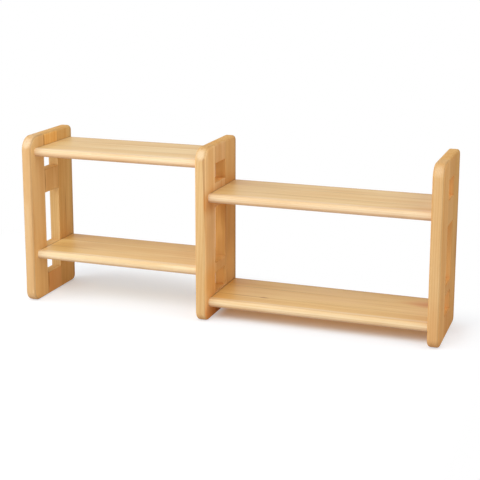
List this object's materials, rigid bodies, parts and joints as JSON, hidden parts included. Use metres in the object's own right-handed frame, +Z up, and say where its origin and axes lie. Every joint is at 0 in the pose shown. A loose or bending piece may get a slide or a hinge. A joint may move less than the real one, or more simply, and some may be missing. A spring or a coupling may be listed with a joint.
{
  "type": "wall shelf",
  "caption": "Low open wooden shelf with a high and a low bay: windowed upright panels with rounded edges carry round-nosed shelves and stand on their lower edges.",
  "frame": {"origin": "centre of the bounding box's underside, on the floor that the panels stand on", "axes": "+X to the viewer's right along the shelves, +Y to the back, +Z up"},
  "size_m": [0.915, 0.19, 0.37],
  "materials": {
    "stile_wood": "satin",
    "block_wood": "satin",
    "shelf_wood": "satin",
    "dowel_wood": "matte"
  },
  "bodies": {
    "root": {"left_panel_front_stile": "stile_wood", "left_panel_back_stile": "stile_wood", "left_panel_bottom_block": "block_wood", "left_panel_lower_block": "block_wood", "left_panel_upper_block": "block_wood", "left_panel_top_block": "block_wood", "middle_panel_front_stile": "stile_wood", "middle_panel_back_stile": "stile_wood", "middle_panel_bottom_block": "block_wood", "middle_panel_lower_block": "block_wood", "middle_panel_upper_block": "block_wood", "middle_panel_top_block": "block_wood", "right_panel_front_stile": "stile_wood", "right_panel_back_stile": "stile_wood", "right_panel_bottom_block": "block_wood", "right_panel_lower_block": "block_wood", "right_panel_upper_block": "block_wood", "right_panel_top_block": "block_wood", "upper_left_shelf_front_stave": "shelf_wood", "upper_left_shelf_middle_stave": "shelf_wood", "upper_left_shelf_back_stave": "shelf_wood", "upper_right_shelf_front_stave": "shelf_wood", "upper_right_shelf_middle_stave": "shelf_wood", "upper_right_shelf_back_stave": "shelf_wood", "lower_left_shelf_front_stave": "shelf_wood", "lower_left_shelf_middle_stave": "shelf_wood", "lower_left_shelf_back_stave": "shelf_wood", "lower_right_shelf_front_stave": "shelf_wood", "lower_right_shelf_middle_stave": "shelf_wood", "lower_right_shelf_back_stave": "shelf_wood", "upper_left_shelf_left_dowels": "dowel_wood", "upper_left_shelf_right_dowels": "dowel_wood", "upper_right_shelf_left_dowels": "dowel_wood", "upper_right_shelf_right_dowels": "dowel_wood", "lower_left_shelf_left_dowels": "dowel_wood", "lower_left_shelf_right_dowels": "dowel_wood", "lower_right_shelf_left_dowels": "dowel_wood", "lower_right_shelf_right_dowels": "dowel_wood"}
  },
  "joints": []
}
